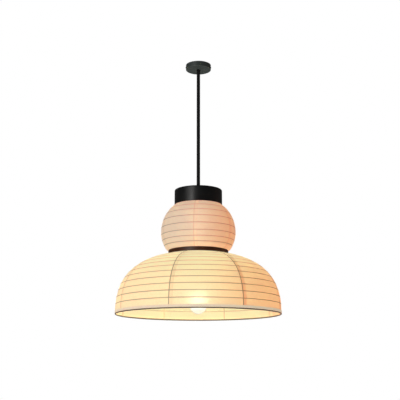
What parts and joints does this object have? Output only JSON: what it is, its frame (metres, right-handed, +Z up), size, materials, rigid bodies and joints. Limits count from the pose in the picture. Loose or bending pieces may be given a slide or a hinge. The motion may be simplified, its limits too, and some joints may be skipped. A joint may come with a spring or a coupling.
{
  "type": "paper pendant light",
  "caption": "Hanging light: round canopy, rigid rod, black cap, small paper globe, black neck ring and a wide paper dome on wire hoops with a bulb inside.",
  "frame": {"origin": "on the ceiling face, at the centre of the ceiling plate, from which the light hangs", "axes": "+Z up along the rod, into the ceiling; the front with one dome seam left and one right of the middle faces -Y; +X to the right seen from the front"},
  "size_m": [0.601, 0.601, 0.958],
  "materials": {
    "black_lacquer": "satin black lacquer on steel",
    "ring_wood": "turned wood, stained black, satin",
    "zinc_steel": "zinc plated, slightly dull",
    "brass": "turned brass",
    "nylon": "natural nylon",
    "blue_sheath": "core insulation",
    "earth_sheath": "core insulation",
    "brown_sheath": "core insulation",
    "flex_rubber": "matt round flex sheath",
    "shade_paper": "translucent fibrous lantern paper, glued to wire hoops",
    "hem_paper": "doubled paper tape, matt",
    "frame_wire": "matt lacquered steel wire",
    "rim_wire": "matt dark brown lacquered steel wire",
    "holder_plastic": "black thermoset, fine matt",
    "holder_ceramic": "unglazed porcelain",
    "bulb_opal": "opal glass, lit warm white",
    "bulb_plastic": "white bulb collar",
    "bulb_metal": "plain, slightly worn",
    "led_board": "white masked board"
  },
  "bodies": {
    "ceiling_mount": {"ceiling_plate": "zinc_steel", "swivel_seat": "brass", "canopy": "black_lacquer", "canopy_screws": "black_lacquer", "terminal_block": "nylon", "terminal_screws": "brass", "block_screw": "zinc_steel", "neutral_core": "blue_sheath", "earth_core": "earth_sheath", "live_core": "brown_sheath"},
    "swivel_liner": {"swivel_liner": "nylon"},
    "swivel_ball": {"swivel_ball": "zinc_steel"},
    "pendant": {"cap": "black_lacquer", "cap_washer": "zinc_steel", "cord_grip": "nylon", "dome_gore_1": "shade_paper", "dome_gore_2": "shade_paper", "dome_gore_3": "shade_paper", "dome_gore_4": "shade_paper", "dome_gore_5": "shade_paper", "dome_gore_6": "shade_paper", "dome_gore_7": "shade_paper", "dome_gore_8": "shade_paper", "dome_hoops": "frame_wire", "dome_uprights": "frame_wire", "globe_gore_1": "shade_paper", "globe_gore_2": "shade_paper", "globe_gore_3": "shade_paper", "globe_gore_4": "shade_paper", "globe_gore_5": "shade_paper", "globe_gore_6": "shade_paper", "globe_hoops": "frame_wire", "globe_uprights": "frame_wire", "hem_tape": "hem_paper", "holder_cap": "holder_plastic", "holder_contact": "brass", "holder_cores": "brown_sheath", "holder_insert": "holder_ceramic", "holder_shell": "brass", "holder_skirt": "holder_plastic", "inner_stem": "zinc_steel", "neck_ring": "ring_wood", "neck_spider": "zinc_steel", "rim_hoop": "rim_wire", "ring_screws": "zinc_steel", "stem_nuts": "zinc_steel", "supply_flex": "flex_rubber", "suspension_rod": "black_lacquer", "upper_spider": "zinc_steel"},
    "bulb": {"bulb_glass": "bulb_opal", "bulb_led_board": "led_board", "bulb_collar": "bulb_plastic", "bulb_screw_cap": "bulb_metal", "bulb_tip": "bulb_metal"}
  },
  "joints": [
    {"name": "swing_front_back", "type": "hinge", "parent": "ceiling_mount", "child": "swivel_liner", "pos_m": [0, 0, -0.013], "axis": [1, 0, 0], "range_deg": [-5.5, 5.5]},
    {"name": "swing_side_to_side", "type": "hinge", "parent": "swivel_liner", "child": "swivel_ball", "pos_m": [0, 0, -0.013], "axis": [0, 1, 0], "range_deg": [-5.5, 5.5]},
    {"name": "rod_turn", "type": "hinge", "parent": "swivel_ball", "child": "pendant", "pos_m": [0, 0, -0.013], "axis": [0, 0, 1], "range_deg": [-170, 170]},
    {"name": "bulb_unscrew", "type": "slide", "parent": "pendant", "child": "bulb", "axis": [0, 0, -1], "range_m": [0, 0.028]}
  ]
}
